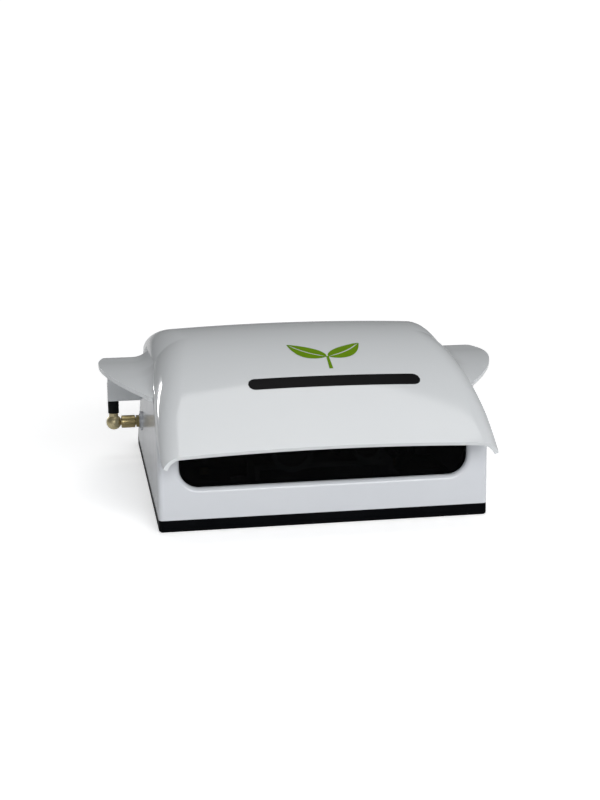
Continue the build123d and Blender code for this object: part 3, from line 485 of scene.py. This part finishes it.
def rim_height(y):
    """Lower edge of the hood's side."""
    run = (y - LIP_Y) / (RIM_Y - LIP_Y)
    return min(SEAM_HEIGHT, LIP_RIM_HEIGHT + (SEAM_HEIGHT - LIP_RIM_HEIGHT) * run)


def roof_at(x, y):
    """Height of the roof away from the centre line, between its rounded corners."""
    return roof_height(y) - CROWN * (x / hood_half(y)) ** 2


def corner_centre(y):
    """Centre of the rounding between roof and side, and the slope where it meets the roof."""
    half, radius = hood_half(y), corner_radius(y)
    slope = atan2(2 * CROWN * (half - radius) / half**2, 1.0)
    return half - radius, roof_at(half - radius, y) - radius * cos(slope), slope


def hood_side(y, z):
    """Half width of the hood's outside at a height."""
    radius = corner_radius(y)
    x, middle, _ = corner_centre(y)
    rise = min(max((z - middle) / radius, 0.0), 1.0)
    return x + radius * sqrt(1 - rise**2)


def spaced(points, count):
    """The same line as count points, evenly spaced along it."""
    lengths = [0.0]
    for a, b in zip(points, points[1:]):
        lengths.append(lengths[-1] + (Vector(b) - Vector(a)).length)
    kept = []
    i = 0
    for step in range(count):
        want = lengths[-1] * step / (count - 1)
        while i < len(points) - 2 and lengths[i + 1] < want:
            i += 1
        part = (want - lengths[i]) / max(lengths[i + 1] - lengths[i], 1e-9)
        kept.append(tuple(Vector(points[i]).lerp(Vector(points[i + 1]), part)))
    return kept


def half_section(y, side_count=30, roof_steps=26):
    """Points of the right half of one cross-section, from the rim up to the centre line."""
    rim, radius = rim_height(y), corner_radius(y)
    x, middle, slope = corner_centre(y)
    low_angle = asin(min(max((rim - middle) / radius, 0.0), 0.99))
    side = [(x + radius, rim)] if rim < middle else []
    turns = 40
    for i in range(turns + 1):
        angle = low_angle + (pi / 2 - slope - low_angle) * i / turns
        side.append((x + radius * cos(angle), middle + radius * sin(angle)))
    points = spaced(side, side_count)
    last = points[-1]
    for i in range(1, roof_steps + 1):
        across = last[0] * (1 - i / roof_steps)
        lift = (last[1] - roof_at(last[0], y)) * (across / last[0]) ** 2
        points.append((across, roof_at(across, y) + lift))
    return points


def hood_stations():
    """Depths of the cross-sections, close together at the lip and round the rear corners."""
    straight = 150
    first, last = LIP_Y, REAR_Y - PLAN_CORNER
    stations = [first + (last - first) * i / straight for i in range(straight + 1)]
    turns = 14
    stations += [last + PLAN_CORNER * sin(pi / 2 * i / turns) for i in range(1, turns + 1)]
    return stations


def hood_rows():
    """All cross-sections, each from the left rim over the roof to the right rim."""
    rows = []
    for y in hood_stations():
        half = half_section(y)
        left = [(-x, y, z) for x, z in half]
        right = [(x, y, z) for x, z in reversed(half[:-1])]
        rows.append(left + right)
    rows.append([(x, y, SEAM_HEIGHT) for x, y, z in rows[-1]])
    return rows


def make_hood():
    """The hood's shell: roof, sides, visor and a low rear wall."""
    bm = grid_mesh(hood_rows())
    bmesh.ops.remove_doubles(bm, verts=bm.verts, dist=0.002)
    bmesh.ops.recalc_face_normals(bm, faces=bm.faces)
    hood = make_object("hood", bm, white_gloss)
    return thicken(hood, HOOD_EDGE, 50)


# ---------------------------------------------------------------- wings
def wing_tip(y):
    """How far the wing reaches from the middle."""
    if y < WING_TIP_Y:
        run = (WING_TIP_Y - y) / (WING_TIP_Y - WING_START_Y)
        return HALF_WIDTH + WING_SPAN * (1 - min(run, 1.0) ** WING_NOSE_CURVE)
    run = min((y - WING_TIP_Y) / WING_EASE_LENGTH, 1.0)
    ease = run * run * (3 - 2 * run)
    return HALF_WIDTH + WING_SPAN + (WING_REAR_SPAN - WING_SPAN) * ease


def wing_path():
    """Points along the wing's upper face seen from the side."""
    path = []
    front_steps, arch_steps, crowding = 54, 40, 1.25
    for i in range(front_steps):
        y = WING_START_Y + (ARCH_Y - WING_START_Y) * (i / front_steps) ** crowding
        run = max((WING_CREST_Y - y) / (WING_CREST_Y - RIM_Y), 0.0)
        path.append((y, SEAM_HEIGHT + WING_RISE * (1 - run**2)))
    end = pi / 2 - asin((WING_END_HEIGHT - ARCH_Z) / ARCH_RADIUS)
    for i in range(arch_steps + 1):
        angle = end * i / arch_steps
        path.append((ARCH_Y + ARCH_RADIUS * sin(angle), ARCH_Z + ARCH_RADIUS * cos(angle)))
    return path


def wing_rows(side):
    """Cross-sections of one wing, from the hood's side down a hollow curve and out to its tip."""
    rows = []
    curve_steps, flat_steps = 12, 16
    for y, z in wing_path():
        loose = (SEAM_HEIGHT + LEAVING_BAND - z) / LEAVING_BAND if y > ARCH_Y else 0.0
        loose = min(max(loose, 0.0), 1.0)
        grow = min(max((y - WING_START_Y) / WING_GROWTH, 0.0), 1.0)
        hollow = 0.5 + WING_FILLET * (1 - loose) * sqrt(grow)
        clear = (HALF_WIDTH + WING_CLEARANCE) * loose
        base = hood_side(y, z) * (1 - loose) + clear
        root = (hood_side(y, z + hollow) - WING_SINK) * (1 - loose) + clear
        flat = base + hollow
        tip = max(wing_tip(y), flat + WING_LEAST_REACH)
        row = []
        for i in range(curve_steps + 1):
            t = i / curve_steps
            across = (1 - t) ** 2 * root + 2 * t * (1 - t) * base + t * t * flat
            row.append((across, hollow * (1 - t) ** 2))
        row += [(flat + (tip - flat) * i / flat_steps, 0.0) for i in range(1, flat_steps + 1)]
        rows.append([(side * x, y, z + up) for x, up in row])
    return rows


def make_wing(name, side):
    """One side wing, which sweeps out of the hood and arches down in front of its antenna."""
    bm = grid_mesh(wing_rows(side))
    bmesh.ops.recalc_face_normals(bm, faces=bm.faces)
    bm.faces.ensure_lookup_table()
    middle = bm.faces[len(bm.faces) // 3]
    if middle.normal.z < 0:
        bmesh.ops.reverse_faces(bm, faces=bm.faces)
    wing = make_object(name, bm, white_gloss)
    return thicken(wing, WING_EDGE, WING_EDGE_ANGLE)


hood = make_hood()
wings = [make_wing("left_wing", -1), make_wing("right_wing", 1)]
for piece in [hood] + wings:
    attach(piece, "root")
    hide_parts("hood_shell")


# ---------------------------------------------------------------- repeated details
def ring_tree():
    """Geometry nodes: copies of a ridge stood in a ring round the X axis, in rows along it."""
    tree = bpy.data.node_groups.new("ridges round an axis", "GeometryNodeTree")
    group_socket(tree, "Geometry", "NodeSocketGeometry", "INPUT")
    for name, kind, value in (
        ("Count", "NodeSocketInt", 24),
        ("Radius", "NodeSocketFloat", 0.005),
        ("Length", "NodeSocketFloat", 0.008),
        ("Width", "NodeSocketFloat", 0.0008),
        ("Height", "NodeSocketFloat", 0.0006),
        ("Start", "NodeSocketFloat", 0.0),
        ("Rows", "NodeSocketInt", 1),
        ("Row Step", "NodeSocketFloat", 0.002),
        ("Material", "NodeSocketMaterial", None),
    ):
        group_socket(tree, name, kind, "INPUT", value)
    group_socket(tree, "Geometry", "NodeSocketGeometry", "OUTPUT")
    n = Nodes(tree)
    start, end = n.add("NodeGroupInput"), n.add("NodeGroupOutput")

    def laid_along_x(mesh):
        turn = n.add("GeometryNodeTransform")
        turn.inputs["Rotation"].default_value = (0.0, pi / 2, 0.0)
        n.link(mesh, turn.inputs["Geometry"])
        return turn.outputs["Geometry"]

    def along_x(name):
        vector = n.add("ShaderNodeCombineXYZ")
        n.link(start.outputs[name], vector.inputs["X"])
        return vector.outputs["Vector"]

    ridge = n.add("GeometryNodeMeshCylinder")
    ridge.inputs["Vertices"].default_value = 4
    n.link(start.outputs["Width"], ridge.inputs["Radius"])
    n.link(start.outputs["Length"], ridge.inputs["Depth"])
    line = n.add("GeometryNodeMeshLine", mode="OFFSET")
    n.link(start.outputs["Rows"], line.inputs["Count"])
    n.link(along_x("Row Step"), line.inputs["Offset"])
    n.link(along_x("Start"), line.inputs["Start Location"])
    circle = n.add("GeometryNodeMeshCircle")
    n.link(start.outputs["Count"], circle.inputs["Vertices"])
    n.link(start.outputs["Radius"], circle.inputs["Radius"])
    rings = n.add("GeometryNodeInstanceOnPoints")
    n.link(line.outputs["Mesh"], rings.inputs["Points"])
    n.link(laid_along_x(circle.outputs["Mesh"]), rings.inputs["Instance"])
    spots = n.add("GeometryNodeRealizeInstances")
    n.link(rings.outputs["Instances"], spots.inputs["Geometry"])
    place = n.add("GeometryNodeInputPosition")
    radial = n.add("ShaderNodeVectorMath", operation="MULTIPLY")
    radial.inputs[1].default_value = (0.0, 1.0, 1.0)
    n.link(place.outputs["Position"], radial.inputs[0])
    aim = n.add("FunctionNodeAlignEulerToVector", axis="Z", pivot_axis="X")
    n.link(radial.outputs["Vector"], aim.inputs["Vector"])
    stood = n.add("GeometryNodeInstanceOnPoints")
    n.link(spots.outputs["Geometry"], stood.inputs["Points"])
    n.link(laid_along_x(ridge.outputs["Mesh"]), stood.inputs["Instance"])
    n.link(aim.outputs["Rotation"], stood.inputs["Rotation"])
    size = n.add("ShaderNodeCombineXYZ")
    size.inputs["X"].default_value = 1.0
    size.inputs["Y"].default_value = 1.0
    n.link(n.maths("DIVIDE", start.outputs["Height"], start.outputs["Width"]), size.inputs["Z"])
    n.link(size.outputs["Vector"], stood.inputs["Scale"])
    whole = n.add("GeometryNodeRealizeInstances")
    n.link(stood.outputs["Instances"], whole.inputs["Geometry"])
    coat = n.add("GeometryNodeSetMaterial")
    n.link(whole.outputs["Geometry"], coat.inputs["Geometry"])
    n.link(start.outputs["Material"], coat.inputs["Material"])
    n.link(coat.outputs["Geometry"], end.inputs["Geometry"])
    return tree


RINGS = ring_tree()


def ridges(name, centre, turn, material, **values):
    """Ridges round an axis through centre, which turn points along, as one plain mesh."""
    bm = bmesh.new()
    bm.verts.new((0, 0, 0))
    obj = make_object(name, bm, material)
    modifier = obj.modifiers.new("ridges", "NODES")
    modifier.node_group = RINGS
    wanted = {key.replace("_", " ").title(): value for key, value in values.items()}
    wanted["Material"] = material
    for item in RINGS.interface.items_tree:
        if item.in_out == "INPUT" and item.name in wanted:
            modifier[item.identifier] = wanted[item.name]
    apply_modifiers(obj)
    obj.data.transform(Matrix.Translation(centre) @ turn.to_4x4())
    obj.data.update()
    return obj


def node_box(node):
    """Middle of a node's box, its lowest corner and its size along each axis."""
    low, high = (Vector(corner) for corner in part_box(node))
    return (low + high) / 2, low, high - low


def knurl_coupling(side, outward):
    """Fine ridges round the middle of one antenna's coupling."""
    middle, _, size = node_box(side + "_antenna_coupling")
    knurl = ridges(
        side + "_coupling_knurl", middle, Matrix.Identity(3), antenna_brass,
        count=30, radius=size.z / 2 - 0.00022, length=size.x * 0.42,
        width=0.00042, height=0.0002, start=-0.0003 * outward, rows=1,
    )
    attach(knurl, side + "_coupling")


def rib_stub(side):
    """Shallow ribs round the foot of one antenna's rubber sleeve."""
    middle, low, size = node_box(side + "_antenna_stub")
    foot = Vector((middle.x, middle.y, low.z + 0.006))
    ribs = ridges(
        side + "_stub_ribs", foot, Matrix.Rotation(-pi / 2, 3, "Y"), stub_rubber,
        count=40, radius=size.x / 2 - 0.0001, length=0.0009,
        width=0.00035, height=0.0002, rows=9, row_step=0.0022,
    )
    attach(ribs, side + "_antenna")


def grip_vent():
    """Finger grips round the vent plug's cap on the rear."""
    middle, low, size = node_box("vent_plug")
    cap = Vector((middle.x, low.y + size.y - 0.0022, middle.z))
    grips = ridges(
        "vent_grips", cap, Matrix.Rotation(pi / 2, 3, "Z"), vent_black,
        count=26, radius=size.z / 2 - 0.00035, length=0.0030,
        width=0.0006, height=0.0003, rows=1,
    )
    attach(grips, "root")


for side, outward in (("left", -1), ("right", 1)):
    knurl_coupling(side, outward)
    rib_stub(side)
grip_vent()


# ---------------------------------------------------------------- printed marks on the hood
MARK_X, MARK_Y = 10.0, -84.0
LEAF_WIDTH, LEAF_RIB, LEAF_BOW = 6.4, 0.45, 2.5
STRIPE_Y, STRIPE_LENGTH, STRIPE_HEIGHT = -116.0, 116.0, 10.0
PRINT_LIFT = 0.12


def printed_strip(name, start, end, edges, material, bow=0.0, steps=36):
    """A thin print on the roof along a line. edges gives its two sides along the way, and bow
    bends it sideways."""
    across = 4
    start, end = Vector(start), Vector(end)
    along = end - start
    aside = Vector((-along.y, along.x)).normalized()
    rows = []
    for i in range(steps + 1):
        t = i / steps
        low, high = edges(t)
        middle = start + along * t + aside * bow * sin(pi * t)
        row = []
        for j in range(across + 1):
            spot = middle + aside * (low + (high - low) * j / across)
            row.append((spot.x, spot.y, roof_at(spot.x, spot.y) + PRINT_LIFT))
        rows.append(row)
    bm = grid_mesh(rows)
    bmesh.ops.remove_doubles(bm, verts=bm.verts, dist=0.001)
    bmesh.ops.recalc_face_normals(bm, faces=bm.faces)
    mark = make_object(name, bm, material)
    face_up(mark)
    return mark


def leaf_half(side):
    """Edges of one half of a leaf, beside its rib."""

    def edges(t):
        inner = LEAF_RIB * min(1.0, 6 * t, 6 * (1 - t))
        outer = max(LEAF_RIB + LEAF_WIDTH * sin(pi * t**0.8) ** 0.85, inner + 0.02)
        return (inner, outer) if side > 0 else (-outer, -inner)

    return edges


def round_bar(length, height):
    """Edges of a bar with round ends."""

    def edges(t):
        past = max(abs(t - 0.5) * length - (length - height) / 2, 0.0)
        reach = sqrt(max((height / 2) ** 2 - past**2, 1e-4))
        return (-reach, reach)

    return edges


marks = [
    printed_strip(
        label + "_leaf_" + half,
        (MARK_X + lean * 0.8, MARK_Y - 6.0),
        (MARK_X + lean * 25.0, MARK_Y + 12.0),
        leaf_half(side),
        leaf_green,
        bow=-lean * LEAF_BOW,
    )
    for label, lean in (("left", -1), ("right", 1))
    for half, side in (("upper", 1), ("lower", -1))
]
marks.append(
    printed_strip(
        "leaf_stem",
        (MARK_X, MARK_Y - 20.0),
        (MARK_X, MARK_Y - 5.5),
        lambda t: (-1.3 + 0.4 * t, 1.3 - 0.4 * t),
        leaf_green,
    )
)
marks.append(
    printed_strip(
        "hood_stripe",
        (MARK_X - STRIPE_LENGTH / 2, STRIPE_Y),
        (MARK_X + STRIPE_LENGTH / 2, STRIPE_Y),
        round_bar(STRIPE_LENGTH, STRIPE_HEIGHT),
        ink_black,
        steps=160,
    )
)
for mark in marks:
    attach(mark, "root")


# ---------------------------------------------------------------- studio
FLOOR_HALF = 15000.0
CAMERA_PLACE = (-0.15896, -0.97854, 0.25441)
CAMERA_YAW, CAMERA_PITCH, CAMERA_ROLL = 0.16694, 0.19671, -0.01043
CAMERA_LENS, SENSOR_WIDTH = 60.75, 36.0
LAMPS = (
    # name, place, the point it faces, its two sides, watts
    ("front soft box", (0.45, -2.4, 1.05), (0, 0, 0.05), (1.9, 1.0), 43.5),
    ("top soft box", (0.2, 0.1, 2.2), (0, 0, 0), (1.2, 1.2), 10),
    ("left strip", (-1.1, 1.62, 0.46), (-0.1, -0.05, 0.09), (0.07, 0.5), 3.5),
)


def studio_paper():
    """Plain pale paper. It glows a little, more so far from the object, so that it stays even."""
    material = finish(
        "studio paper", (0.93, 0.93, 0.93), (0.92, 0.92, 0.92), 0.7, 0.05, bump=0.02,
        emission_color=(1.0, 1.0, 1.0, 1.0), specular_ior_level=0.1,
    )
    n = Nodes(material.node_tree)
    shader = material.node_tree.nodes["Principled BSDF"]
    place = n.add("ShaderNodeTexCoord").outputs["Object"]
    distance = n.add("ShaderNodeVectorMath", operation="LENGTH")
    n.link(place, distance.inputs[0])
    glow = n.spread(distance.outputs["Value"], 0.5, 2.0, 0.52, 1.0)
    seen = n.add("ShaderNodeLightPath").outputs["Is Camera Ray"]
    shown = n.maths("MULTIPLY", seen, glow)
    n.link(n.maths("MAXIMUM", shown, 0.12), shader.inputs["Emission Strength"])
    return material


def make_floor():
    """A plain pale floor."""
    edges = (-FLOOR_HALF, 0.0, FLOOR_HALF)
    bm = grid_mesh([[(x, y, 0.0) for x in edges] for y in reversed(edges)])
    floor = make_object("studio_floor", bm, studio_paper())
    face_up(floor)


def area_light(name, place, target, size, energy):
    """A soft rectangular lamp that faces a point."""
    data = bpy.data.lights.new(name, "AREA")
    data.shape = "RECTANGLE"
    data.size, data.size_y = size
    data.energy = energy
    lamp = bpy.data.objects.new(name, data)
    lamp.location = place
    lamp.rotation_euler = (Vector(target) - Vector(place)).to_track_quat("-Z", "Y").to_euler()
    bpy.context.collection.objects.link(lamp)


def make_world():
    """Soft, even, dim surroundings, plain white where they are seen directly."""
    world = bpy.data.worlds.new("studio")
    world.use_nodes = True
    n = Nodes(world.node_tree)
    background = world.node_tree.nodes["Background"]
    background.inputs["Color"].default_value = (0.97, 0.985, 1.0, 1.0)
    seen = n.add("ShaderNodeLightPath").outputs["Is Camera Ray"]
    n.link(n.spread(seen, 0.0, 1.0, 0.2, 1.1), background.inputs["Strength"])
    bpy.context.scene.world = world


def make_camera():
    """A long lens in front of the object, a little above it and to its left."""
    data = bpy.data.cameras.new("camera")
    data.lens = CAMERA_LENS
    data.sensor_width = SENSOR_WIDTH
    camera = bpy.data.objects.new("camera", data)
    yaw, pitch, roll = CAMERA_YAW, CAMERA_PITCH, CAMERA_ROLL
    forward = Vector((sin(yaw) * cos(pitch), cos(yaw) * cos(pitch), -sin(pitch)))
    right = Vector((cos(yaw), -sin(yaw), 0.0))
    up = right.cross(forward)
    turned_right = right * cos(roll) + up * sin(roll)
    turned_up = up * cos(roll) - right * sin(roll)
    turn = Matrix((turned_right, turned_up, -forward)).transposed()
    camera.matrix_world = Matrix.Translation(CAMERA_PLACE) @ turn.to_4x4()
    bpy.context.collection.objects.link(camera)
    bpy.context.scene.camera = camera


make_floor()
make_world()
make_camera()
bpy.context.scene.view_settings.view_transform = "Standard"
for lamp in LAMPS:
    area_light(*lamp)
